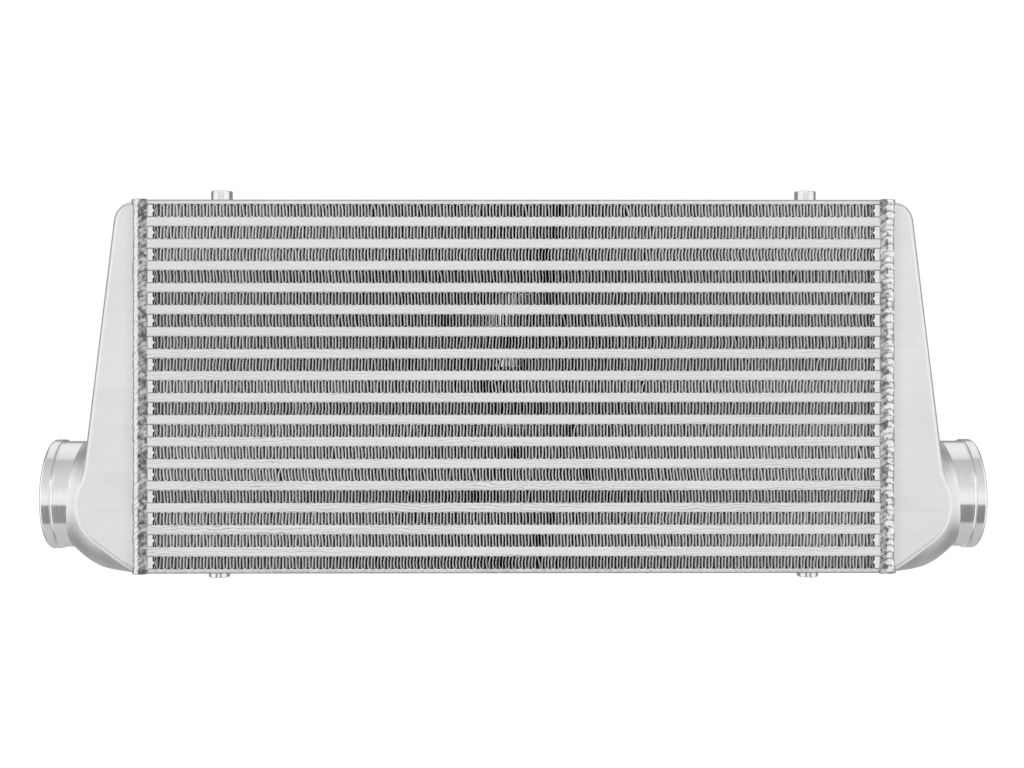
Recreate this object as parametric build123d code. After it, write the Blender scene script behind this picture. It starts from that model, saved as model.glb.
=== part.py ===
from build123d import *
import math
import os

os.makedirs("parts", exist_ok=True)

# Bar-and-plate air-to-air intercooler with cast end tanks.
# Frame: millimetres, +Z up, origin at the centre of the core.
# X runs from neck to neck, Y is the way the outside air blows through.

# ------------------------------------------------------------------ core
CORE_X = 610.0          # core length between the two tank seams
CORE_Y = 100.0          # core depth
CORE_Z = 305.0          # core height
HX, HY, HZ = CORE_X / 2, CORE_Y / 2, CORE_Z / 2

N_AMBIENT = 17          # rows open to the outside air
N_CHARGE = 16           # rows the charge air runs through
AMBIENT_H = 10.35       # height of an outside-air row
CHARGE_H = 6.6          # height of a charge-air row
SHEET_T = 0.5           # parting sheet thickness
PLATE_T = (CORE_Z - N_AMBIENT * AMBIENT_H - N_CHARGE * (CHARGE_H + 2 * SHEET_T)) / 2
ROW_PITCH = AMBIENT_H + CHARGE_H + 2 * SHEET_T

LONG_BAR_W = 8.0        # depth of the bars that close the charge rows, front and rear
END_BAR_W = 10.4        # width of the bars that close the outside-air rows at the tanks
NOSE_L = 1.8            # the pointed nose on the inner side of each bar
NOSE_H = 4.0            # its height where it leaves the bar

# corrugated fins
A_LEGS = 218            # legs across one outside-air row
A_PITCH = 2.683         # leg to leg
A_FIN_T = 0.2           # strip thickness
C_LEGS = 27             # legs across one charge-air row
C_PITCH = 3.0
C_FIN_T = 0.2
C_FIN_X = 606.0         # the charge fins stop 2 mm short of each tank seam

# ------------------------------------------------------------------ end tanks
WALL = 4.0              # cast wall
SLANT = math.radians(6.94)      # lean of the outer side
SLANT_X, SLANT_Z = 348.7, -40.6  # a point on the outer side
TANK_TOP = 151.0        # top of the casting, a little below the core's top
TOP_R = 17.0            # rounded top outer corner
NECK_Z = -93.0          # height of the neck axis
NECK_R = 44.45          # neck outside radius (3.5 in hose)
BORE_R = 41.0           # neck bore, machined
BORE_FROM = 370.0       # inner end of the machined bore
CAST_R = 41.6           # cast passage behind it, a little wider
BAND_R = 45.8           # raised band that holds the hose on
BAND_FROM, BAND_TO = 380.6, 386.6
RELIEF_R = 44.0         # turned relief on the inner side of the band
NECK_END = 389.0        # outer end of the neck from the core centre
NECK_FROM = 335.0       # inner end of the neck's cylinder, inside the casting
EDGE_R = 5.0            # cast edge rounding, front and rear
ROOT_R = 3.0            # where the flared root of the neck meets the leaning side
FOOT_R = 8.0            # where it meets the flat underside

# The flared root of the neck is turned about an axis square to the leaning side,
# which crosses the neck's own axis at ROOT_X. Distance along that axis, radius:
ROOT_X = 358.0
FLARE = [(-72.0, 77.7), (-62.4, 74.2), (-56.1, 71.95), (-46.6, 68.7), (-35.0, 64.5),
         (-25.5, 60.95), (-19.3, 58.9), (-14.0, 57.0), (-9.7, 55.1), (-5.4, 52.8),
         (-2.2, 50.8), (1.1, 48.7), (3.55, 46.97), (5.9, 45.6), (8.5, 44.2), (12.0, 42.0)]
INNER_FLARE = [(-74.0, 73.6), (-62.4, 69.7), (-56.1, 67.5), (-46.6, 64.3), (-35.0, 60.2),
               (-25.5, 56.6), (-19.3, 54.4), (-14.0, 52.3), (-9.7, 50.2), (-5.4, 47.6),
               (-2.2, 45.3), (1.1, 43.0), (4.5, 41.1), (8.0, 39.3)]

# ------------------------------------------------------------------ welds and bosses
BEAD_W = 11.4           # width of the weld round each tank seam
BEAD_H = 1.6            # how far it stands proud
BOSS_X = {"top": 247.6, "bottom": 249.6}    # mounting bosses, from the core centre
BOSS_R = 9.0
BOSS_H = 11.0
THREAD_R = 3.4          # tapping size of the M8 thread
THREAD_DEPTH = 9.0
BOSS_CHAMFER = 0.8
BOSS_WELD = 2.5         # leg of the small fillet weld round each boss


def ambient_z(i):
    """Centre height of outside-air row i, counted from 0 at the top."""
    return HZ - PLATE_T - AMBIENT_H / 2 - i * ROW_PITCH


def charge_z(i):
    """Centre height of charge-air row i, counted from 0 at the top."""
    return ambient_z(i) - ROW_PITCH / 2


def corrugation(legs, pitch, height, t):
    """Closed outline of a folded strip: legs stand along the second axis,
    and semicircular crests join them alternately above and below."""
    r = pitch / 2
    zc = height / 2 - t / 2 - r
    xs = [(i - (legs - 1) / 2) * pitch for i in range(legs)]

    def side(sign):
        # the strip's left (sign +1) or right (sign -1) face, walking along it
        edges = []
        prev = None
        for i, x in enumerate(xs):
            up = i % 2 == 0
            off = -sign * t / 2 if up else sign * t / 2
            z0 = -zc if up else zc
            z1 = zc if up else -zc
            if i == 0:
                z0 = -height / 2
            if i == legs - 1:
                z1 = z1 / abs(z1) * height / 2
            a = (x + off, z0)
            b = (x + off, z1)
            if prev is not None:
                mid_x = (prev[0] + a[0]) / 2
                rr = abs(a[0] - prev[0]) / 2
                top = not up
                mid_z = a[1] + rr if top else a[1] - rr
                edges.append(("arc", prev, (mid_x, mid_z), a))
            edges.append(("line", a, b))
            prev = b
        return edges

    left = side(1)
    right = side(-1)

    def make(e, rev=False):
        pts = e[1:]
        if rev:
            pts = pts[::-1]
        pts = [Vector(p[0], p[1], 0) for p in pts]
        if e[0] == "arc":
            return Edge.make_three_point_arc(*pts)
        return Edge.make_line(*pts)

    edges = [make(e) for e in left]
    edges.append(Edge.make_line(Vector(left[-1][-1][0], left[-1][-1][1], 0),
                                Vector(right[-1][-1][0], right[-1][-1][1], 0)))
    edges += [make(e, True) for e in reversed(right)]
    edges.append(Edge.make_line(Vector(right[0][1][0], right[0][1][1], 0),
                                Vector(left[0][1][0], left[0][1][1], 0)))
    return Face(Wire(edges))


def bar_profile(width, height):
    """Bar section: flat on three sides, with a pointed nose on the +first side."""
    return Face(Wire.make_polygon([
        (0, -height / 2, 0), (width, -height / 2, 0), (width, -NOSE_H / 2, 0),
        (width + NOSE_L, 0, 0), (width, NOSE_H / 2, 0), (width, height / 2, 0),
        (0, height / 2, 0)], close=True))


nodes = {}

# ------------------------------------------------------------------ outside-air fins
# profile in X and Z, drawn out through the depth of the core
ambient_face = corrugation(A_LEGS, A_PITCH, AMBIENT_H, A_FIN_T)
ambient_plane = Plane(origin=(0, HY, 0), x_dir=(1, 0, 0), z_dir=(0, -1, 0))
ambient_strip = extrude(ambient_plane * ambient_face, amount=CORE_Y, dir=(0, -1, 0))
for i in range(N_AMBIENT):
    nodes["ambient_fin_row_%02d" % (i + 1)] = Pos(0, 0, ambient_z(i)) * ambient_strip

# ------------------------------------------------------------------ charge-air fins
# profile in Y and Z, drawn out along the core
charge_face = corrugation(C_LEGS, C_PITCH, CHARGE_H, C_FIN_T)
charge_plane = Plane(origin=(-C_FIN_X / 2, 0, 0), x_dir=(0, 1, 0), z_dir=(1, 0, 0))
charge_strip = extrude(charge_plane * charge_face, amount=C_FIN_X, dir=(1, 0, 0))
for i in range(N_CHARGE):
    nodes["charge_fin_row_%02d" % (i + 1)] = Pos(0, 0, charge_z(i)) * charge_strip

# ------------------------------------------------------------------ bars
front_plane = Plane(origin=(-HX, -HY, 0), x_dir=(0, 1, 0), z_dir=(1, 0, 0))
front_bar = extrude(front_plane * bar_profile(LONG_BAR_W, CHARGE_H), amount=CORE_X, dir=(1, 0, 0))
rear_bar = front_bar.mirror(Plane.XZ)
nodes["front_long_bars"] = Compound([Pos(0, 0, charge_z(i)) * front_bar for i in range(N_CHARGE)])
nodes["rear_long_bars"] = Compound([Pos(0, 0, charge_z(i)) * rear_bar for i in range(N_CHARGE)])

end_plane = Plane(origin=(-HX, HY, 0), x_dir=(1, 0, 0), z_dir=(0, -1, 0))
left_bar = extrude(end_plane * bar_profile(END_BAR_W, AMBIENT_H), amount=CORE_Y, dir=(0, -1, 0))
right_bar = left_bar.mirror(Plane.YZ)
nodes["left_end_bars"] = Compound([Pos(0, 0, ambient_z(i)) * left_bar for i in range(N_AMBIENT)])
nodes["right_end_bars"] = Compound([Pos(0, 0, ambient_z(i)) * right_bar for i in range(N_AMBIENT)])

# ------------------------------------------------------------------ sheets and side plates
sheets = []
for i in range(N_CHARGE):
    for s in (1, -1):
        sheets.append(Pos(0, 0, charge_z(i) + s * (CHARGE_H + SHEET_T) / 2)
                      * Box(CORE_X, CORE_Y, SHEET_T))
nodes["parting_sheets"] = Compound(sheets)
nodes["top_side_plate"] = Pos(0, 0, HZ - PLATE_T / 2) * Box(CORE_X, CORE_Y, PLATE_T)
nodes["bottom_side_plate"] = Pos(0, 0, -HZ + PLATE_T / 2) * Box(CORE_X, CORE_Y, PLATE_T)


# ------------------------------------------------------------------ end tanks
def slant_x(z, inset=0.0):
    return SLANT_X + (SLANT_Z - z) * math.tan(SLANT) - inset / math.cos(SLANT)


def tank_body(inset, corner_r):
    """The deep box with a leaning outer side, down to the neck axis."""
    top = TANK_TOP - inset
    pts = [(HX - 1 if inset else HX, top), (slant_x(top, inset), top),
           (slant_x(NECK_Z, inset), NECK_Z), (HX - 1 if inset else HX, NECK_Z)]
    plane = Plane(origin=(0, HY - inset, 0), x_dir=(1, 0, 0), z_dir=(0, -1, 0))
    face = Face(Wire.make_polygon([(x, z, 0) for x, z in pts], close=True))
    solid = extrude(plane * face, amount=CORE_Y - 2 * inset, dir=(0, -1, 0))
    corner = [e for e in solid.edges()
              if abs(e.center().X - pts[1][0]) < 0.01 and abs(e.center().Z - pts[1][1]) < 0.01]
    return fillet(corner, corner_r)


def turning(profile_edges, origin_x=0.0, lean=0.0):
    """A profile in length and radius, turned about an axis that leans from the neck's own."""
    along = (math.cos(lean), 0, math.sin(lean))
    plane = Plane(origin=(origin_x, 0, NECK_Z), x_dir=along, z_dir=(0, -1, 0))
    face = plane * Face(Wire(profile_edges))
    return revolve(face, axis=Axis((origin_x, 0, NECK_Z), along), revolution_arc=360)


def line(a, b):
    return Edge.make_line(Vector(a[0], a[1], 0), Vector(b[0], b[1], 0))


def arc(a, m, b):
    return Edge.make_three_point_arc(Vector(a[0], a[1], 0), Vector(m[0], m[1], 0),
                                     Vector(b[0], b[1], 0))


def flared_root(pts):
    a, b = pts[0], pts[-1]
    curve = Edge.make_spline([Vector(x, r, 0) for x, r in pts])
    return turning([line((a[0], 0), a), curve, line(b, (b[0], 0)), line((b[0], 0), (a[0], 0))],
                   ROOT_X, SLANT)


def neck():
    """The neck's cylinder with its relief, raised band and rounded outer end."""
    x1 = 377.6                       # end of the plain land
    return turning([
        line((NECK_FROM, 0), (NECK_FROM, NECK_R)),
        line((NECK_FROM, NECK_R), (x1, NECK_R)),
        line((x1, NECK_R), (x1 + 0.5, RELIEF_R)),
        line((x1 + 0.5, RELIEF_R), (x1 + 1.5, RELIEF_R)),
        arc((x1 + 1.5, RELIEF_R), (x1 + 2.2, RELIEF_R + 0.6), (BAND_FROM, BAND_R)),
        line((BAND_FROM, BAND_R), (BAND_TO, BAND_R)),
        arc((BAND_TO, BAND_R), (BAND_TO + 1.8, BAND_R - 0.8), (NECK_END, BAND_R - 2.4)),
        line((NECK_END, BAND_R - 2.4), (NECK_END, 0)),
        line((NECK_END, 0), (NECK_FROM, 0)),
    ])


outer_limit = Pos((HX + NECK_END + 5) / 2, 0, 0) * Box(NECK_END + 5 - HX, CORE_Y, CORE_Z)
inner_limit = Pos((HX - 1 + NECK_END + 5) / 2, 0, 0) * Box(NECK_END + 5 - HX + 1,
                                                         CORE_Y - 2 * WALL, CORE_Z - 2 * WALL)
bore = turning([line((NECK_FROM - 5, 0), (NECK_FROM - 5, CAST_R)),
                line((NECK_FROM - 5, CAST_R), (BORE_FROM, CAST_R)),
                line((BORE_FROM, CAST_R), (BORE_FROM, BORE_R)),
                line((BORE_FROM, BORE_R), (NECK_END + 1, BORE_R)),
                line((NECK_END + 1, BORE_R), (NECK_END + 1, 0)),
                line((NECK_END + 1, 0), (NECK_FROM - 5, 0))])
outer = tank_body(0.0, TOP_R) + (flared_root(FLARE) & outer_limit)
inner = tank_body(WALL, TOP_R - WALL) + (flared_root(INNER_FLARE) & inner_limit) + bore


def rounded(shape, radius, pick):
    """Round every edge whose box passes the test."""
    return fillet([e for e in shape.edges() if pick(e.bounding_box())], radius)


# the blend between neck and side, the edge under the neck, then the front and rear outline
outer = rounded(outer, ROOT_R, lambda b: b.min.X > 340 and b.max.X < 358 and b.max.Z < -30
                and b.min.Z > -95 and b.max.Y - b.min.Y > 15)
outer = rounded(outer, FOOT_R, lambda b: b.max.Z < -HZ + 0.02 and b.max.X > 330)
outer = rounded(outer, EDGE_R, lambda b: abs(abs(b.min.Y) - HY) < 0.02
                and b.max.Y - b.min.Y < 0.04 and b.max.X > HX + 0.05)
right_tank = outer + neck() - inner
nodes["right_end_tank"] = right_tank
nodes["left_end_tank"] = right_tank.mirror(Plane.YZ)


# ------------------------------------------------------------------ tank welds
def bead_section(origin, x_dir, z_dir):
    """Low arched section: its flat side lies on the metal, its arch stands proud."""
    plane = Plane(origin=origin, x_dir=x_dir, z_dir=z_dir)
    w = BEAD_W / 2
    return plane * Face(Wire([line((-w, 0), (w, 0)), arc((w, 0), (0, BEAD_H), (-w, 0))]))


# one bead round each seam: four straight runs and a quarter turn at each corner
top_run = extrude(bead_section((HX, -HY, HZ), (1, 0, 0), (0, -1, 0)),
                  amount=CORE_Y, dir=(0, 1, 0))
front_run = extrude(bead_section((HX, -HY, -HZ), (-1, 0, 0), (0, 0, 1)),
                    amount=CORE_Z, dir=(0, 0, 1))
top_front = revolve(bead_section((HX, -HY, HZ), (1, 0, 0), (0, -1, 0)),
                    axis=Axis((HX, -HY, HZ), (1, 0, 0)), revolution_arc=90)
right_weld = top_run + top_run.mirror(Plane.XY) + front_run + front_run.mirror(Plane.XZ)
for turn in (top_front, top_front.mirror(Plane.XZ)):
    right_weld = right_weld + turn + turn.mirror(Plane.XY)
nodes["right_tank_weld"] = right_weld
nodes["left_tank_weld"] = right_weld.mirror(Plane.YZ)

# ------------------------------------------------------------------ mounting bosses
# turned round, with a blind tapped hole, one end on the side plate
boss_profile = Face(Wire.make_polygon([
    (0, 0, 0), (BOSS_R, 0, 0), (BOSS_R, BOSS_H - BOSS_CHAMFER, 0),
    (BOSS_R - BOSS_CHAMFER, BOSS_H, 0), (THREAD_R, BOSS_H, 0),
    (THREAD_R, BOSS_H - THREAD_DEPTH, 0), (0, BOSS_H - THREAD_DEPTH - 1.6, 0)], close=True))
boss = revolve(Plane.XZ * boss_profile, axis=Axis.Z, revolution_arc=360)
weld_profile = Face(Wire([
    line((BOSS_R, 0), (BOSS_R + BOSS_WELD, 0)),
    arc((BOSS_R + BOSS_WELD, 0), (BOSS_R + 0.45 * BOSS_WELD, 0.45 * BOSS_WELD),
        (BOSS_R, BOSS_WELD)),
    line((BOSS_R, BOSS_WELD), (BOSS_R, 0))]))
boss_ring = revolve(Plane.XZ * weld_profile, axis=Axis.Z, revolution_arc=360)
for side, sx in (("left", -1), ("right", 1)):
    for level, sz in (("top", 1), ("bottom", -1)):
        b, r = Pos(0, 0, HZ) * boss, Pos(0, 0, HZ) * boss_ring
        if sz < 0:
            b, r = b.mirror(Plane.XY), r.mirror(Plane.XY)
        nodes["%s_%s_boss" % (level, side)] = Pos(sx * BOSS_X[level], 0, 0) * b
        nodes["%s_%s_boss_weld" % (level, side)] = Pos(sx * BOSS_X[level], 0, 0) * r

# ------------------------------------------------------------------ write the pieces
for name, shape in nodes.items():
    export_step(shape, "parts/%s.step" % name, write_pcurves=False)
print(len(nodes), "pieces written")
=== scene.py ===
import math

import bpy
import numpy as np
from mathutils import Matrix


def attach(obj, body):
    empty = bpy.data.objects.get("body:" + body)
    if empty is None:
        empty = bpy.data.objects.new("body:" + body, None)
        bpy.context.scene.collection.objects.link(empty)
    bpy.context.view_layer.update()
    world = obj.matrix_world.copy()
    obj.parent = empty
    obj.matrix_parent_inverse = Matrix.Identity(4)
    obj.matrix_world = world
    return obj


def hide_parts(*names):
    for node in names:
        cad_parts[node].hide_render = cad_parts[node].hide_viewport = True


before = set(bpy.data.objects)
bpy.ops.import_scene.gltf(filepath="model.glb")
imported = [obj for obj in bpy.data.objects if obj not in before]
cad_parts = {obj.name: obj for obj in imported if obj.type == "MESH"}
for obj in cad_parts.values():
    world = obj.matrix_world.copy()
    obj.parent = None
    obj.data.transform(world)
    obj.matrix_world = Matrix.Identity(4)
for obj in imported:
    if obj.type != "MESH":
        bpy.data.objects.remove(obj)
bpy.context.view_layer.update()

MM = 0.001
scene = bpy.context.scene

# ---------------------------------------------------------------- sizes, mm
HX, HY, HZ = 305.0, 50.0, 152.5
AMBIENT_H, CHARGE_H, SHEET_T = 10.35, 6.6, 0.5
PLATE_T = (305.0 - 17 * AMBIENT_H - 16 * (CHARGE_H + 2 * SHEET_T)) / 2
ROW_PITCH = AMBIENT_H + CHARGE_H + 2 * SHEET_T
NECK_Z = -93.0
BOSS_X, BOSS_R, BOSS_H = {1: 247.6, -1: 249.6}, 9.0, 11.0


def ambient_z(i):
    return HZ - PLATE_T - AMBIENT_H / 2 - i * ROW_PITCH


def charge_z(i):
    return ambient_z(i) - ROW_PITCH / 2


# ---------------------------------------------------------------- node helpers
class Tree:
    """A short way to write a shader tree."""

    def __init__(self, tree):
        self.t = tree
        self.n = tree.nodes
        self.n.clear()

    def add(self, kind, **props):
        node = self.n.new(kind)
        for k, v in props.items():
            setattr(node, k, v)
        return node

    def put(self, socket, value):
        if isinstance(value, bpy.types.NodeSocket):
            self.t.links.new(value, socket)
        else:
            socket.default_value = value

    def math(self, op, a, b=None, c=None, clamp=False):
        node = self.add("ShaderNodeMath", operation=op, use_clamp=clamp)
        for s, v in zip(node.inputs, (a, b, c)):
            if v is not None:
                self.put(s, v)
        return node.outputs[0]

    def vmath(self, op, a, b=None):
        node = self.add("ShaderNodeVectorMath", operation=op)
        self.put(node.inputs[0], a)
        if b is not None:
            self.put(node.inputs[1], b)
        return node.outputs[0]

    def noise(self, vector, scale, detail=3.0, rough=0.55, distortion=0.0):
        node = self.add("ShaderNodeTexNoise", noise_dimensions="3D")
        self.put(node.inputs["Vector"], vector)
        node.inputs["Scale"].default_value = scale
        node.inputs["Detail"].default_value = detail
        node.inputs["Roughness"].default_value = rough
        node.inputs["Distortion"].default_value = distortion
        return node.outputs[0]

    def voronoi(self, vector, scale, feature="F1", randomness=1.0):
        node = self.add("ShaderNodeTexVoronoi", feature=feature)
        self.put(node.inputs["Vector"], vector)
        node.inputs["Scale"].default_value = scale
        node.inputs["Randomness"].default_value = randomness
        return node.outputs[0]

    def stretch(self, vector, sx, sy, sz):
        return self.vmath("MULTIPLY", vector, (sx, sy, sz))

    def remap(self, value, a, b, lo, hi, smooth=False):
        node = self.add("ShaderNodeMapRange", clamp=True,
                        interpolation_type="SMOOTHSTEP" if smooth else "LINEAR")
        self.put(node.inputs[0], value)
        for i, v in zip((1, 2, 3, 4), (a, b, lo, hi)):
            self.put(node.inputs[i], v)
        return node.outputs[0]

    def ramp(self, value, stops, mode="LINEAR"):
        node = self.add("ShaderNodeValToRGB")
        node.color_ramp.interpolation = mode
        el = node.color_ramp.elements
        while len(el) > 1:
            el.remove(el[-1])
        for i, (p, c) in enumerate(stops):
            e = el[0] if i == 0 else el.new(p)
            e.position = p
            e.color = (c, c, c, 1) if not hasattr(c, "__len__") else (*c, 1)
        self.put(node.inputs[0], value)
        return node.outputs[0]

    def mix(self, fac, a, b, kind="FLOAT", blend="MIX"):
        node = self.add("ShaderNodeMix", data_type=kind)
        if kind == "RGBA":
            node.blend_type = blend
            ins, out = (node.inputs[0], node.inputs[6], node.inputs[7]), node.outputs[2]
        else:
            ins, out = (node.inputs[0], node.inputs[2], node.inputs[3]), node.outputs[0]
        for s, v in zip(ins, (fac, a, b)):
            self.put(s, v)
        return out

    def bump(self, height, strength, distance, normal=None):
        node = self.add("ShaderNodeBump")
        node.inputs["Strength"].default_value = strength
        node.inputs["Distance"].default_value = distance
        self.put(node.inputs["Height"], height)
        if normal is not None:
            self.put(node.inputs["Normal"], normal)
        return node.outputs[0]

    def xyz(self, vector):
        node = self.add("ShaderNodeSeparateXYZ")
        self.put(node.inputs[0], vector)
        return node.outputs

    def grey(self, value, tint=(1.0, 1.0, 1.0)):
        node = self.add("ShaderNodeCombineColor")
        for i in range(3):
            self.put(node.inputs[i], self.math("MULTIPLY", value, tint[i]))
        return node.outputs[0]


def material(name, metallic=1.0):
    mat = bpy.data.materials.new(name)
    mat.use_nodes = True
    t = Tree(mat.node_tree)
    out = t.add("ShaderNodeOutputMaterial")
    bsdf = t.add("ShaderNodeBsdfPrincipled")
    bsdf.inputs["Metallic"].default_value = metallic
    t.t.links.new(bsdf.outputs[0], out.inputs[0])
    where = t.add("ShaderNodeTexCoord").outputs["Object"]
    return mat, t, bsdf, where


TINT = (1.0, 1.0, 1.0)


def tank_material():
    """Fine satin casting; the neck is turned bright, with rings round it."""
    mat, t, b, p = material("cast_tank")
    x, y, z = t.xyz(p)[:]
    ax = t.math("ABSOLUTE", x)
    off = t.add("ShaderNodeCombineXYZ")
    t.put(off.inputs[1], y)
    t.put(off.inputs[2], t.math("ADD", z, 0.093))
    length = t.add("ShaderNodeVectorMath", operation="LENGTH")
    t.put(length.inputs[0], off.outputs[0])
    radius = length.outputs["Value"]
    turned = t.math("MULTIPLY", t.remap(radius, 0.04462, 0.04475, 1.0, 0.0),
                    t.remap(ax, 0.3560, 0.3562, 0.0, 1.0))
    turned = t.math("MAXIMUM", turned, t.remap(ax, 0.3745, 0.3750, 0.0, 1.0))
    # casting: grain, slow waves from polishing by hand, a few faint rub marks
    grain = t.noise(p, 1400.0, 2.0, 0.5)
    slow = t.noise(p, 28.0, 3.0, 0.5)
    rub = t.noise(t.stretch(p, 26.0, 26.0, 170.0), 1.0, 2.0, 0.5)
    pits = t.voronoi(p, 330.0)
    pit = t.remap(pits, 0.05, 0.16, 1.0, 0.0)
    pit = t.math("MULTIPLY", pit, t.remap(t.noise(p, 60.0, 1.0), 0.52, 0.62, 0.0, 1.0))
    shade = t.math("ADD", t.remap(slow, 0.3, 0.7, 0.755, 0.795), t.remap(grain, 0.3, 0.7, -0.012, 0.012))
    shade = t.math("ADD", shade, t.remap(rub, 0.35, 0.65, -0.012, 0.012))
    shade = t.math("SUBTRACT", shade, t.math("MULTIPLY", pit, 0.06))
    # heat-dulled strip beside the weld
    near = t.remap(ax, 0.3105, 0.3200, 0.90, 1.0, smooth=True)
    shade = t.math("MULTIPLY", shade, near)
    rough = t.math("ADD", t.remap(slow, 0.3, 0.7, 0.30, 0.36), t.remap(grain, 0.3, 0.7, -0.03, 0.03))
    # turned neck: rings that run round the axis
    ring = t.noise(t.stretch(p, 5200.0, 12.0, 12.0), 1.0, 2.0, 0.6)
    rings = t.noise(t.stretch(p, 1300.0, 5.0, 5.0), 1.0, 2.0, 0.5)
    shade_n = t.math("ADD", 0.885, t.math("ADD", t.remap(ring, 0.3, 0.7, -0.02, 0.02),
                                         t.remap(rings, 0.3, 0.7, -0.015, 0.015)))
    rough_n = t.remap(ring, 0.3, 0.7, 0.10, 0.17)
    t.put(b.inputs["Base Color"], t.grey(t.mix(turned, shade, shade_n), TINT))
    t.put(b.inputs["Roughness"], t.mix(turned, rough, rough_n))
    cast = t.math("ADD", t.math("MULTIPLY", grain, 0.5), t.math("MULTIPLY", slow, 3.0))
    cast = t.math("SUBTRACT", cast, t.math("MULTIPLY", pit, 1.2))
    lathe = t.math("MULTIPLY", ring, 0.10)
    t.put(b.inputs["Normal"], t.bump(t.mix(turned, cast, lathe), 0.55, 0.00006))
    return mat


def turned_material(name="turned_bright", base=0.87):
    """Turned aluminium: rings round the upright axis of a boss."""
    mat, t, b, p = material(name)
    x, y, z = t.xyz(p)[:]
    ring = t.noise(t.stretch(p, 12.0, 12.0, 5200.0), 1.0, 2.0, 0.6)
    spot = t.noise(p, 420.0, 2.0, 0.5)
    shade = t.math("ADD", base, t.math("ADD", t.remap(ring, 0.3, 0.7, -0.03, 0.03),
                                       t.remap(spot, 0.3, 0.7, -0.03, 0.02)))
    t.put(b.inputs["Base Color"], t.grey(shade, TINT))
    t.put(b.inputs["Roughness"], t.remap(ring, 0.3, 0.7, 0.08, 0.16))
    t.put(b.inputs["Normal"], t.bump(ring, 0.3, 0.00004))
    return mat


def bar_material(name, base, flow=1.0, speck=1.0, joints=False):
    """Brazed bar: satin, speckled, with braze run along it in wavy tide lines."""
    mat, t, b, p = material(name)
    x, y, z = t.xyz(p)[:]
    bend = t.noise(t.stretch(p, 34.0, 60.0, 60.0), 1.0, 3.0, 0.6)
    lane = t.math("ADD", t.math("MULTIPLY", z, 900.0), t.math("MULTIPLY", bend, 9.0))
    band = t.math("SINE", t.math("MULTIPLY", lane, 3.0))
    amount = t.remap(t.noise(t.stretch(p, 7.0, 7.0, 90.0), 1.0, 2.0), 0.40, 0.56, 0.0, 1.0)
    tide = t.math("MULTIPLY", t.remap(band, 0.45, 0.98, 0.0, 1.0), amount)
    lower = t.remap(z, 0.10, -0.12, 0.25, 1.0)
    tide = t.math("MULTIPLY", tide, t.math("MULTIPLY", lower, flow))
    grain = t.noise(p, 620.0, 3.0, 0.65)
    fine = t.noise(p, 1900.0, 2.0, 0.6)
    blot = t.noise(t.stretch(p, 60.0, 60.0, 140.0), 1.0, 2.0)
    # painted light: the base colour grows lighter towards the bottom of the core to even out the lower bars, which get
    # less light; the grain speckle added on it is the metal's own
    shade = t.math("ADD", t.remap(z, 0.10, -0.14, base, base + 0.055), t.remap(grain, 0.3, 0.7, -0.06 * speck, 0.05 * speck))
    shade = t.math("ADD", shade, t.remap(fine, 0.3, 0.7, -0.03 * speck, 0.03 * speck))
    shade = t.math("ADD", shade, t.remap(blot, 0.3, 0.7, -0.02, 0.02))
    shade = t.math("SUBTRACT", shade, t.math("MULTIPLY", tide, 0.30))
    if joints:
        # dark braze line along the top and bottom of each end bar, and where it meets the weld
        row = t.math("FRACT", t.math("DIVIDE", t.math("ADD", z, (HZ - PLATE_T - AMBIENT_H / 2) * -MM
                                                      + ROW_PITCH * 40.5 * MM), ROW_PITCH * MM))
        off = t.math("MULTIPLY", t.math("ABSOLUTE", t.math("SUBTRACT", row, 0.5)), ROW_PITCH * MM)
        line = t.remap(off, (AMBIENT_H / 2 - 0.75) * MM, (AMBIENT_H / 2 - 0.35) * MM, 0.0, 1.0)
        foot = t.remap(t.math("ABSOLUTE", x), 0.2982, 0.2992, 0.0, 1.0)
        shade = t.math("MULTIPLY", shade, t.math("SUBTRACT", 1.0, t.math("MULTIPLY", t.math("MAXIMUM", line, foot), 0.62)))
    t.put(b.inputs["Base Color"], t.grey(shade, TINT))
    t.put(b.inputs["Roughness"], t.math("ADD", t.remap(grain, 0.3, 0.7, 0.34, 0.50),
                                        t.math("MULTIPLY", tide, 0.08)))
    h = t.math("ADD", t.math("MULTIPLY", grain, 0.5), t.math("MULTIPLY", fine, 0.2))
    h = t.math("ADD", h, t.math("MULTIPLY", tide, 0.7))
    t.put(b.inputs["Normal"], t.bump(h, 0.6, 0.00010))
    return mat


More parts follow.
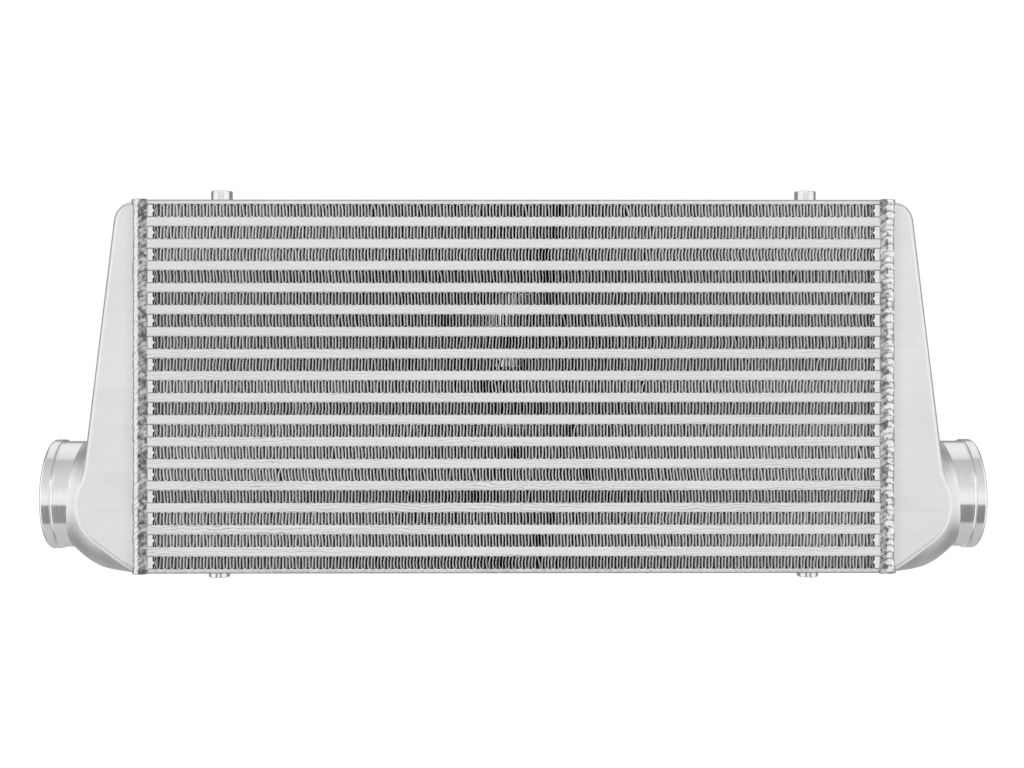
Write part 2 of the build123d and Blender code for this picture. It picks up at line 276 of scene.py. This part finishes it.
def plate_material():
    """Rolled side plate: fine lines along the rolling, braze stains, a few scratches, and painted shade along the
    front edges.
    """
    mat, t, b, p = material("side_plate")
    roll = t.noise(t.stretch(p, 14.0, 2600.0, 2600.0), 1.0, 2.0, 0.6)
    blot = t.noise(t.stretch(p, 16.0, 30.0, 60.0), 1.0, 4.0, 0.6)
    stain = t.remap(blot, 0.5, 0.68, 0.0, 1.0, smooth=True)
    edge_noise = t.noise(p, 900.0, 2.0)
    px, py, pz = t.xyz(p)[:]
    # painted shade: the colour darkens along the plate's rounded front edges, a dark line standing in for the shade
    # and dark reflection there
    edge_shade = t.math("MULTIPLY", t.remap(t.math("ABSOLUTE", pz), 0.1512, 0.1519, 0.0, 1.0),
                 t.remap(t.math("ABSOLUTE", py), 0.0488, 0.0494, 0.0, 1.0))
    mill = t.math("MULTIPLY", t.remap(t.noise(t.stretch(p, 300.0, 300.0, 900.0), 1.0, 3.0, 0.7), 0.42, 0.60, 0.0, 1.0),
                  t.remap(pz, 0.0, -0.1, 0.35, 1.0))
    mill = t.math("MULTIPLY", mill, t.remap(t.math("ABSOLUTE", py), 0.0490, 0.0496, 0.0, 1.0))
    shade = t.math("ADD", 0.76, t.remap(roll, 0.3, 0.7, -0.025, 0.025))
    shade = t.math("SUBTRACT", shade, t.math("MULTIPLY", stain, 0.07))
    shade = t.math("ADD", shade, t.remap(edge_noise, 0.3, 0.7, -0.02, 0.02))
    shade = t.math("SUBTRACT", shade, t.math("MULTIPLY", mill, 0.24))
    shade = t.math("MULTIPLY", shade, t.math("SUBTRACT", 1.0, t.math("MULTIPLY", edge_shade, 0.62)))
    t.put(b.inputs["Base Color"], t.grey(shade, TINT))
    t.put(b.inputs["Roughness"], t.math("ADD", t.remap(roll, 0.3, 0.7, 0.30, 0.42),
                                        t.math("MULTIPLY", stain, 0.10)))
    h = t.math("ADD", t.math("MULTIPLY", roll, 0.25), t.math("MULTIPLY", blot, 1.2))
    t.put(b.inputs["Normal"], t.bump(h, 0.5, 0.00008))
    return mat


def fin_material(name, base):
    """Thin brazed strip: satin, with the louvre slits as fine upright lines of painted shade and bump along the depth.
    """
    mat, t, b, p = material(name, metallic=0.35)
    x, y, z = t.xyz(p)[:]
    louvre = t.math("FRACT", t.math("MULTIPLY", y, 1.0 / 0.0016))
    # painted shade: a dark line at each louvre slit stands in for the shade in the slit's gap
    slit_shade = t.remap(louvre, 0.0, 0.16, 1.0, 0.0)
    spot = t.noise(p, 700.0, 3.0, 0.6)
    strip = t.noise(t.stretch(p, 210.0, 40.0, 60.0), 1.0, 2.0)
    shade = t.math("ADD", base, t.remap(spot, 0.3, 0.7, -0.05, 0.05))
    shade = t.math("ADD", shade, t.remap(strip, 0.3, 0.7, -0.07, 0.07))
    shade = t.math("SUBTRACT", shade, t.math("MULTIPLY", slit_shade, 0.10))
    t.put(b.inputs["Base Color"], t.grey(shade, TINT))
    t.put(b.inputs["Roughness"], t.remap(spot, 0.3, 0.7, 0.36, 0.52))
    h = t.math("ADD", louvre, t.math("MULTIPLY", spot, 0.3))
    t.put(b.inputs["Normal"], t.bump(h, 0.5, 0.00012))
    return mat


def weld_material(name, dull_by=0.40, ragged=0.0005, split=0.3062):
    """Weld bead: bright frozen ripples with painted shade in the valley of each step, duller and greyer on the core
    side, and a painted shadow line along the tank-side edge.
    """
    mat, t, b, p = material(name)
    x, y, z = t.xyz(p)[:]
    ax = t.math("ABSOLUTE", x)
    rip = t.add("ShaderNodeAttribute", attribute_type="GEOMETRY", attribute_name="ripple").outputs["Fac"]
    grain = t.noise(p, 900.0, 3.0, 0.6)
    patch = t.noise(p, 210.0, 4.0, 0.65)
    edge = t.math("ADD", ax, t.remap(patch, 0.3, 0.7, -ragged, ragged))
    dull = t.remap(edge, split - 0.0004, split + 0.0004, 1.0, 0.0)
    # painted shade: the colour darkens in each ripple's valley, where the next ripple laps over it
    step = t.remap(rip, 0.66, 0.97, 0.0, 1.0, smooth=True)
    shade = t.math("ADD", 0.84, t.remap(grain, 0.3, 0.7, -0.08, 0.07))
    shade = t.math("SUBTRACT", shade, t.math("MULTIPLY", dull, dull_by))
    shade = t.math("ADD", shade, t.math("MULTIPLY", dull, t.remap(patch, 0.38, 0.62, -0.22, 0.24)))
    shade = t.math("MULTIPLY", shade, t.math("SUBTRACT", 1.0, t.math("MULTIPLY", step, 0.62)))
    # painted shadow: a dark line along the bead's tank-side edge, where it meets the tank
    edge_shade = t.remap(edge, 0.3088, 0.3098, 0.0, 1.0)
    shade = t.math("MULTIPLY", shade, t.math("SUBTRACT", 1.0, t.math("MULTIPLY", edge_shade, 0.55)))
    shade = t.math("MAXIMUM", shade, 0.12)
    t.put(b.inputs["Base Color"], t.grey(shade, TINT))
    t.put(b.inputs["Roughness"], t.math("ADD", t.math("MULTIPLY", dull, 0.16),
                                        t.remap(grain, 0.3, 0.7, 0.16, 0.30)))
    t.put(b.inputs["Normal"], t.bump(t.math("ADD", grain, t.math("MULTIPLY", patch, 2.0)), 0.7, 0.00012))
    return mat


# ---------------------------------------------------------------- mesh helpers
def piece(name, verts, faces, mats, smooth=True, sharp=40.0, index=None):
    me = bpy.data.meshes.new(name)
    me.from_pydata((np.asarray(verts, float) * MM).tolist(), [], [tuple(f) for f in faces])
    me.update()
    for m in (mats if isinstance(mats, (list, tuple)) else [mats]):
        me.materials.append(m)
    me.polygons.foreach_set("use_smooth", [smooth] * len(me.polygons))
    if index is not None:
        me.polygons.foreach_set("material_index", index)
    if smooth and sharp is not None:
        me.set_sharp_from_angle(angle=math.radians(sharp))
    ob = bpy.data.objects.new(name, me)
    scene.collection.objects.link(ob)
    return ob


def outward(ob):
    """Turn every face outward."""
    import bmesh
    bm = bmesh.new()
    bm.from_mesh(ob.data)
    bmesh.ops.recalc_face_normals(bm, faces=bm.faces)
    bm.to_mesh(ob.data)
    bm.free()
    return ob


def loft(rings, closed_ring=True, caps="fan", join_ends=False):
    """Quads between successive rings of points; caps close the first and last ring."""
    rings = [np.asarray(r, float) for r in rings]
    n = len(rings[0])
    verts = np.concatenate(rings)
    faces = []
    k = len(rings)
    last = k if join_ends else k - 1
    for i in range(last):
        a, b = i * n, ((i + 1) % k) * n
        for j in range(n if closed_ring else n - 1):
            j2 = (j + 1) % n
            faces.append((a + j, a + j2, b + j2, b + j))
    if not join_ends and caps:
        faces.append(tuple(range(n - 1, -1, -1)))
        faces.append(tuple((k - 1) * n + j for j in range(n)))
    return verts, faces


# ---------------------------------------------------------------- outside-air fins
FIN_N, FIN_PITCH, FIN_T = 220, 2.683, 0.2
STATIONS = np.array([0.0, 1.3, 2.8, 5.0, 12.0, 50.0, 95.0, 97.6, 100.0])
WAVE = np.array([0.0, 0.50, 0.85, 0.10, 0.0, 0.0, 0.10, 0.80, 0.0])
DRIFT = np.array([0.0, 0.0, 0.0, 0.0, 0.25, -1.45, 0.0, 0.0, 0.0])
EDGE_T = np.array([0.34, 0.30, 0.24, 0.2, 0.2, 0.2, 0.2, 0.25, 0.34])


def fin_row(i, mat):
    """One folded strip: bowed, leaning legs and rounded crests, waved through the depth."""
    rng = np.random.default_rng(1000 + i)
    n, k = FIN_N, len(STATIONS)
    half = AMBIENT_H / 2 - FIN_T / 2
    x0 = (np.arange(n) - (n - 1) / 2) * FIN_PITCH
    def drift(knots, size):
        return np.interp(np.arange(n), np.linspace(0, n, knots), rng.normal(0, size, knots))
    x0 = x0 + drift(15, 0.28) + rng.normal(0, 0.07, n)
    x0 = x0 + np.where(np.arange(n) % 2 == 0, 1, -1) * rng.normal(0.04, 0.04)
    rare = (rng.random(n) < 0.05) * rng.normal(0, 0.35, n)
    lean = rng.normal(0, 0.05, n) + drift(12, 0.14) + rng.normal(0, 0.08) + rare
    bow = rng.normal(0, 0.07, n) + drift(10, 0.16) + rng.normal(0, 0.12) - rare * 0.5
    sign = 1 if rng.random() < 0.5 else -1
    calm = i + 1 in (4, 5, 6, 7, 8, 10, 14, 17)
    amp = sign * 1.35
    at = rng.uniform(0.40, 0.60) * n
    sway = -np.tanh((np.arange(n) - at) / 1.7) * (1.25 if calm else 1.35)
    free = np.clip(np.minimum(np.arange(n), n - 1 - np.arange(n)) / 3.0, 0, 1)
    for j, way in ((0, 1), (n - 1, -1)):
        x0[j] = -way * 293.5
        lean[j], bow[j] = 0.0, way * 1.3
    crest = 1.28 + rng.normal(0, 0.10, n)
    crest = np.clip(crest, 0.95, 1.6)
    sides = []
    for s, (y, d, w) in enumerate(zip(STATIONS, DRIFT, WAVE)):
        near = min(y, 100 - y) < 20
        wob = rng.normal(0, 0.05 if near else 0.03, (3, n))
        c = x0 + free * (amp * d + sway * w * (1 + rng.normal(0, 0.12, n)))
        top = c + lean + wob[0]
        mid = c + bow + wob[1]
        low = c - lean + wob[2]
        c = np.clip(c, x0[0], x0[-1])
        zc = half - 0.866 * crest
        pts = []
        for j in range(n):
            up = j % 2 == 0
            a = (low[j], -zc[j]) if up else (top[j], zc[j])
            b = (top[j], zc[j]) if up else (low[j], -zc[j])
            if j == 0:
                a = (low[j], -half)
            if j == n - 1:
                b = (low[j], -half)
            pts += [a, (mid[j], 0.0), b]
            if j < n - 1:
                e = top if up else low
                z1, z2 = zc[j], zc[j + 1]
                zz = half if up else -half
                span = e[j + 1] - e[j]
                pts += [(e[j] + 0.25 * span, zz), (e[j + 1] - 0.25 * span, zz)]
        pts = np.array(pts)
        tan = np.gradient(pts, axis=0)
        ln = np.linalg.norm(tan, axis=1, keepdims=True)
        nor = np.stack([-tan[:, 1], tan[:, 0]], 1) / np.maximum(ln, 1e-6)
        nor *= EDGE_T[s] / 2
        for q in (pts + nor, pts - nor):
            q = q.copy()
            q[:, 0] = np.clip(q[:, 0], -294.3, 294.3)
            q[:, 1] = np.clip(q[:, 1], -AMBIENT_H / 2, AMBIENT_H / 2)
            sides.append(np.stack([q[:, 0], np.full(len(q), y - 50.0), q[:, 1] + ambient_z(i)], 1))
    m = len(sides[0])
    rings = [np.concatenate([sides[2 * s], sides[2 * s + 1][::-1]]) for s in range(k)]
    verts = np.concatenate(rings)
    r = 2 * m
    j = np.arange(r)
    quads = []
    for s in range(k - 1):
        a, b = s * r, (s + 1) * r
        quads.append(np.stack([a + j, b + j, b + (j + 1) % r, a + (j + 1) % r], 1))
    j = np.arange(m - 1)
    quads.append(np.stack([j, j + 1, r - 2 - j, r - 1 - j], 1))
    o = (k - 1) * r
    quads.append(np.stack([o + j, o + r - 1 - j, o + r - 2 - j, o + j + 1], 1))
    ob = piece("fin_row_%02d" % (i + 1), verts, np.concatenate(quads).tolist(), mat, sharp=75.0)
    return outward(ob)


# the second copy is the same satin strip painted darker: painted shade for rows 4-8, 10, 14 and 17, whose gaps run
# deeper
fins = [fin_material("outside_fin_a", 0.73), fin_material("outside_fin_b", 0.635)]
for i in range(17):
    ob = fin_row(i, fins[1] if i + 1 in (4, 5, 6, 7, 8, 10, 14, 17) else fins[0])
    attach(ob, "root")
    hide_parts("ambient_fin_row_%02d" % (i + 1))


# ---------------------------------------------------------------- bars and plates
def softened(profile, r):
    """A closed outline with each corner cut by two short facets."""
    out = []
    p = [np.array(q, float) for q in profile]
    for i, q in enumerate(p):
        a, b = p[i - 1], p[(i + 1) % len(p)]
        u, v = (a - q), (b - q)
        lu, lv = np.linalg.norm(u), np.linalg.norm(v)
        u, v = u / lu, v / lv
        rr = min(r, 0.4 * lu, 0.4 * lv)
        bis = (u + v)
        out += [q + u * rr, q + bis * rr * 0.29, q + v * rr]
    return out


def bar_solid(profile, along, start, stop, place, soft=0.35, end_soft=0.3):
    """A straight bar: a softened profile drawn from start to stop, with eased ends."""
    prof = softened(profile, soft)
    mid = np.mean(prof, axis=0)
    rings = []
    for pos, shrink in ((start, end_soft), (start + end_soft, 0.0), (stop - end_soft, 0.0), (stop, end_soft)):
        ring = []
        for q in prof:
            d = mid - q
            w = d / max(np.linalg.norm(d), 1e-6) * shrink
            ring.append(place(q + w, pos))
        rings.append(ring)
    return loft(rings)


def merged(name, solids, mat, nodes, sharp=14.0):
    verts, faces, base = [], [], 0
    for v, f in solids:
        verts.append(v)
        faces += [tuple(x + base for x in q) for q in f]
        base += len(v)
    ob = outward(piece(name, np.concatenate(verts), faces, mat, sharp=sharp))
    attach(ob, "root")
    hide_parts(*nodes)
    return ob


def nosed(w, h, nose_l=1.8, nose_h=4.0):
    return [(0, -h / 2), (w, -h / 2), (w, -nose_h / 2), (w + nose_l - 0.35, -0.35),
            (w + nose_l, 0.0), (w + nose_l - 0.35, 0.35), (w, nose_h / 2), (w, h / 2), (0, h / 2)]


bar_mat = bar_material("core_bar", 0.755, flow=1.0)
rng = np.random.default_rng(5)
for name, s, node in (("front_bars", -1, "front_long_bars"), ("rear_bars", 1, "rear_long_bars")):
    solids = []
    for i in range(16):
        inset = rng.uniform(0.0, 0.12)
        tilt = rng.normal(0, 0.00012)

        def place(q, pos, s=s, i=i, inset=inset, tilt=tilt):
            return (pos, s * (HY - inset - q[0] + pos * tilt * 0), charge_z(i) + q[1])
        solids.append(bar_solid(nosed(8.0, CHARGE_H), "x", -HX, HX, place))
    merged(name, solids, bar_mat, [node])
end_mat = bar_material("end_bar", 0.80, flow=0.15, joints=True)
for name, s, node in (("end_bars_left", -1, "left_end_bars"), ("end_bars_right", 1, "right_end_bars")):
    solids = []
    for i in range(17):
        inset = rng.uniform(0.0, 0.2)

        def place(q, pos, s=s, i=i, inset=inset):
            return (s * (HX - q[0]), pos, ambient_z(i) + q[1])
        solids.append(bar_solid(nosed(10.4, AMBIENT_H, 1.8, 3.4), "y", -HY + inset, HY - inset, place,
                                soft=0.3, end_soft=0.35))
    merged(name, solids, end_mat, [node])

sheet_mat = bar_material("parting_sheet", 0.74, flow=0.3)
solids = []
for i in range(16):
    for s in (1, -1):
        z = charge_z(i) + s * (CHARGE_H + SHEET_T) / 2
        inset = rng.uniform(0.0, 0.08)
        t = SHEET_T / 2
        prof = [(-HY + inset, -t), (HY - inset, -t), (HY - inset, t), (-HY + inset, t)]
        solids.append(bar_solid(prof, "x", -HX, HX, lambda q, pos, z=z: (pos, q[0], z + q[1]),
                                soft=0.1, end_soft=0.0))
merged("sheets", solids, sheet_mat, ["parting_sheets"])
plate_mat = plate_material()
for name, s in (("top_side_plate", 1), ("bottom_side_plate", -1)):
    z = s * (HZ - PLATE_T / 2)
    t = PLATE_T / 2
    prof = [(-HY, -t), (HY, -t), (HY, t), (-HY, t)]
    v, f = bar_solid(prof, "x", -HX, HX, lambda q, pos, z=z: (pos, q[0], z + q[1]), soft=0.55)
    merged(name.replace("side_", "") + "_piece", [(v, f)], plate_mat, [name])


# ---------------------------------------------------------------- tank welds
def tank_weld(name, side, mat, node, seed, gap, lean, two_lane):
    """The bead round a seam: frozen ripples laid one over the next, uneven as a hand lays them."""
    rng = np.random.default_rng(seed)
    step = 0.65
    # the walk round the rectangle, with a small turn at each corner
    path = []
    cr = 0.9
    corners = [(-HY, -HZ), (-HY, HZ), (HY, HZ), (HY, -HZ)]
    for i in range(4):
        a, b = np.array(corners[i]), np.array(corners[(i + 1) % 4])
        d = (b - a) / np.linalg.norm(b - a)
        nrm = np.array([-d[1], d[0]])
        if nrm @ (a + b) < 0:
            nrm = -nrm
        length = np.linalg.norm(b - a) - 2 * cr
        m = int(length / step)
        for q in range(m + 1):
            path.append((a + d * (cr + length * q / m), nrm))
        nd = np.array(corners[(i + 2) % 4]) - b
        nd = nd / np.linalg.norm(nd)
        n2 = np.array([-nd[1], nd[0]])
        if n2 @ (b + np.array(corners[(i + 2) % 4])) < 0:
            n2 = -n2
        centre = b - d * cr + nd * cr
        for q in range(1, 8):
            w = math.radians(90 * q / 8)
            nn = nrm * math.cos(w) + n2 * math.sin(w)
            path.append((centre + nn * cr, nn))
    pos = np.array([p[0] for p in path])
    nor = np.array([p[1] for p in path])
    ds = np.linalg.norm(np.diff(pos, axis=0, append=pos[:1]), axis=1)
    arc = np.concatenate([[0], np.cumsum(ds)[:-1]])
    total = ds.sum()
    # ripple starts, unevenly spaced
    starts = [0.0]
    while starts[-1] < total - 3.5:
        starts.append(starts[-1] + float(np.clip(rng.normal(gap, 0.16 * gap), 0.6 * gap, 1.5 * gap)))
    starts = np.array(starts) * total / starts[-1]
    loud = rng.uniform(0.65, 1.3, len(starts))
    side_step = rng.normal(0, 0.35, len(starts))
    wide = rng.normal(0, 0.30, len(starts))
    slowx = np.interp(arc, np.linspace(0, total, 60), rng.normal(0, 0.25, 60), period=total)
    slowh = np.interp(arc, np.linspace(0, total, 90), rng.normal(0, 0.14, 90), period=total)
    M = 19
    rings, marks = [], []
    corner_lift = np.zeros(len(arc))
    for cpt in corners:
        dist = np.linalg.norm(pos - np.array(cpt), axis=1)
        corner_lift += np.exp(-(dist / 5.0) ** 2)
    flatten = np.where(np.abs(nor[:, 1]) > 0.5, 0.42, 1.0)
    for q in range(len(arc)):
        ring, mark = [], []
        for m in range(M):
            u = -1 + 2 * m / (M - 1)          # -1 core side, +1 tank side
            # crescent: the bead's middle runs ahead of its edges, leaning to one side
            s = (arc[q] + 2.4 * u * u + lean * u) % total
            k = int(np.searchsorted(starts, s, side="right") - 1)
            k = min(max(k, 0), len(starts) - 2)
            f = (s - starts[k]) / (starts[k + 1] - starts[k])
            rip = (1 - f) ** 1.2 * loud[k]
            halfw = 5.6 + wide[k] + 0.9 * corner_lift[q] + 0.2 * rip
            prof = max(0.0, 1 - abs(u) ** 2.6) ** 0.7
            ridge = math.exp(-((u - 0.55) / 0.30) ** 2) * two_lane
            h = 0.12 + prof * (1.05 + 0.75 * ridge + slowh[q] + 0.5 * corner_lift[q]) \
                + 0.55 * rip * (prof * 0.85 + 0.15)
            h = min(h * flatten[q], 2.6)
            xx = side * (HX + u * halfw + (slowx[q] + side_step[k] * 0.5) * (1 - u * u * 0.6))
            ring.append((xx, pos[q][0] + nor[q][0] * h, pos[q][1] + nor[q][1] * h))
            mark.append(f)
        # flat underside on the metal
        lo = 5.5
        for u in (1, 0.3, -0.3, -1):
            ring.append((side * (HX + u * lo), pos[q][0] + nor[q][0] * 0.02, pos[q][1] + nor[q][1] * 0.02))
            mark.append(0.0)
        rings.append(ring)
        marks += mark
    v, f = loft(rings, join_ends=True)
    ob = outward(piece(name, v, f, mat, sharp=85.0))
    mark = ob.data.attributes.new("ripple", "FLOAT", "POINT")
    mark.data.foreach_set("value", np.array(marks, np.float32))
    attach(ob, "root")
    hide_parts(node)
    return ob


tank_weld("weld_left", -1, weld_material("tank_weld_left", 0.52), "left_tank_weld", 31, 4.3, 5.0, 1.0)
tank_weld("weld_right", 1, weld_material("tank_weld_right", 0.46, 0.0022, 0.3046), "right_tank_weld", 32,
          5.2, -1.4, 0.35)


# ---------------------------------------------------------------- bosses
def boss(name, node, sx, sz, mat):
    """Turned boss with a chamfer, a countersunk mouth and a real M8 thread inside."""
    seg = 56
    ang = np.arange(seg) * 2 * math.pi / seg
    rings = []

    def ring(r, z):
        r = np.broadcast_to(np.asarray(r, float), (seg,))
        zz = np.broadcast_to(np.asarray(z, float), (seg,))
        rings.append(np.stack([sx * BOSS_X[sz] + r * np.cos(ang), r * np.sin(ang), sz * (HZ + zz)], 1))
    ring(0.02, 0.0)
    ring(8.85, 0.0)
    ring(9.0, 0.12)
    ring(9.0, 10.15)
    ring(8.93, 10.4)
    ring(8.35, 10.95)
    ring(8.2, 11.0)
    ring(4.75, 11.0)
    ring(4.6, 10.97)
    pitch = 1.25
    zs = np.linspace(10.35, 2.1, 62)
    for z in zs:
        phase = (z / pitch + ang / (2 * math.pi)) % 1.0
        tri = 1 - np.abs(phase * 2 - 1)
        flat = np.clip(tri * 1.35 - 0.12, 0, 1)
        fade = np.clip((z - 2.1) / 1.2, 0, 1)
        cone = max(0.0, (z - 9.75)) * 1.0
        r = np.minimum(3.36 + 0.62 * flat * fade, 4.6)
        r = np.maximum(r, 3.36 + cone * 1.6)
        ring(r, z)
    ring(3.36, 2.0)
    ring(0.02, 0.45)
    v, f = loft(rings)
    ob = outward(piece(name, v, f, mat, sharp=38.0))
    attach(ob, "root")
    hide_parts(node)


def boss_weld(name, node, sx, sz, mat, seed):
    """Small fillet weld round a boss."""
    rng = np.random.default_rng(seed)
    seg, m = 150, 9
    count = 26
    loud = rng.uniform(0.6, 1.2, count)
    rings = []
    for q in range(seg):
        a = 2 * math.pi * q / seg
        k = a / (2 * math.pi) * count
        f = k % 1.0
        rip = (1 - f) * loud[int(k) % count]
        ring = [(9.02, 0.02)]
        for j in range(m):
            w = math.radians(90 * j / (m - 1))
            g = 2.15 + 0.16 * rip + 0.1 * math.sin(3 * a + seed)
            bulge = 1 - 0.24 * math.sin(2 * w)
            ring.append((9.02 + g * math.cos(w) * bulge, 0.02 + g * math.sin(w) * bulge))
        rings.append([(sx * BOSS_X[sz] + r * math.cos(a), r * math.sin(a), sz * (HZ + z)) for r, z in ring])
    v, f = loft(rings, join_ends=True)
    ob = outward(piece(name, v, f, mat, sharp=80.0))
    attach(ob, "root")
    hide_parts(node)


boss_mat = turned_material("boss_turned", 0.80)
small_weld = weld_material("boss_weld", 0.0, 0.0, 0.0)
for level, sz in (("top", 1), ("bottom", -1)):
    for side, sx in (("left", -1), ("right", 1)):
        node = "%s_%s_boss" % (level, side)
        boss("boss_%s_%s" % (level, side), node, sx, sz, boss_mat)
        boss_weld("boss_weld_%s_%s" % (level, side), node + "_weld", sx, sz, small_weld, 7 + sx + 3 * sz)

# ---------------------------------------------------------------- CAD pieces that stay
tank_mat = tank_material()
inner_fin = fin_material("charge_fin", 0.62)
for name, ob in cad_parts.items():
    if ob.hide_render:
        continue
    ob.data.materials.clear()
    ob.data.materials.append(tank_mat if "tank" in name else inner_fin)

# ---------------------------------------------------------------- studio
# floor: pale, well below the part, which hangs by its bosses
size = 6.0
me = bpy.data.meshes.new("floor")
me.from_pydata([(-size, -size, 0), (size, -size, 0), (size, size, 0), (-size, size, 0)], [], [(0, 1, 2, 3)])
floor = bpy.data.objects.new("floor", me)
scene.collection.objects.link(floor)
floor.location = (0, 0, -0.6)
fmat = bpy.data.materials.new("floor_pale")
fmat.use_nodes = True
t = Tree(fmat.node_tree)
out = t.add("ShaderNodeOutputMaterial")
dif = t.add("ShaderNodeBsdfDiffuse")
dif.inputs["Color"].default_value = (0.9, 0.9, 0.9, 1)
em = t.add("ShaderNodeEmission")
em.inputs["Color"].default_value = (1, 1, 1, 1)
em.inputs["Strength"].default_value = 0.42
add = t.add("ShaderNodeAddShader")
t.t.links.new(dif.outputs[0], add.inputs[0])
t.t.links.new(em.outputs[0], add.inputs[1])
t.t.links.new(add.outputs[0], out.inputs[0])
me.materials.append(fmat)
floor.visible_glossy = False
floor.visible_diffuse = False
floor.visible_shadow = False

# surroundings: a white studio to the eye; what the metal mirrors is graded round the left-right axis
world = bpy.data.worlds.new("studio")
scene.world = world
world.use_nodes = True
t = Tree(world.node_tree)
out = t.add("ShaderNodeOutputWorld")
d = t.add("ShaderNodeTexCoord").outputs["Generated"]
dx, dy, dz = t.xyz(d)[:]
turn = t.math("ARCTAN2", dz, t.math("MULTIPLY", dy, -1.0))     # 0 front, +90 overhead, 180 behind
share = t.remap(turn, -math.pi, math.pi, 0.0, 1.0)


def at(deg):
    return (deg + 180.0) / 360.0


stops = [(-180, 0.40), (-150, 0.52), (-61, 0.58), (-59, 0.20), (-40, 0.20), (-19, 0.22), (-17, 0.90),
         (0, 0.97), (12, 0.88), (25, 0.72), (55, 0.62), (84, 0.56), (88, 0.84), (115, 0.95),
         (145, 0.88), (158, 0.35), (180, 0.30)]
calm = [(-180, 0.40), (-150, 0.62), (-90, 0.88), (-45, 1.0), (0, 0.98), (25, 0.92), (60, 0.76), (84, 0.55),
        (90, 0.60), (115, 0.85), (145, 0.80), (158, 0.30), (180, 0.25)]
side = t.math("ABSOLUTE", dx)
outer = t.remap(side, 0.235, 0.262, 0.0, 1.0, smooth=True)
ring = t.mix(outer, t.ramp(share, [(at(a), v) for a, v in calm]),
             t.ramp(share, [(at(a), v) for a, v in stops]))
sidew = t.remap(side, 0.36, 0.66, 0.0, 1.0, smooth=True)
front = t.remap(dy, -0.22, 0.32, 1.0, 0.0, smooth=True)        # 1 in front, 0 behind
side_val = t.mix(front, 0.30, 1.12)
val = t.mix(sidew, ring, side_val)
lp = t.add("ShaderNodeLightPath")
val = t.mix(lp.outputs["Is Camera Ray"], val, 1.0)
bg = t.add("ShaderNodeBackground")
t.put(bg.inputs["Color"], t.grey(val))
bg.inputs["Strength"].default_value = 1.0
t.t.links.new(bg.outputs[0], out.inputs[0])

# a soft key light in front, high and central
light = bpy.data.lights.new("key", "AREA")
light.shape = "RECTANGLE"
light.size, light.size_y = 1.6, 0.9
light.energy = 6.0
key = bpy.data.objects.new("key", light)
scene.collection.objects.link(key)
key.location = (0.0, -1.6, 1.3)
key.rotation_euler = (math.radians(52), 0, 0)

# ---------------------------------------------------------------- camera
cam_data = bpy.data.cameras.new("camera")
cam = bpy.data.objects.new("camera", cam_data)
scene.collection.objects.link(cam)
cam_data.sensor_width = 36.0
cam_data.sensor_fit = "HORIZONTAL"
cam_data.lens = 1495.0 / 1024.0 * 36.0
yaw = math.radians(-0.35)
dist = 1.27
cam.location = (dist * math.sin(yaw), -dist * math.cos(yaw), 0.0566)
cam.rotation_euler = (math.radians(90), 0, yaw)
cam_data.shift_x = -1.8 / 1024.0
cam_data.shift_y = -66.8 / 1024.0
cam_data.clip_start, cam_data.clip_end = 0.01, 50.0
scene.camera = cam

scene.view_settings.view_transform = "Standard"
scene.view_settings.look = "None"
scene.view_settings.exposure = 0.0
scene.view_settings.gamma = 1.0
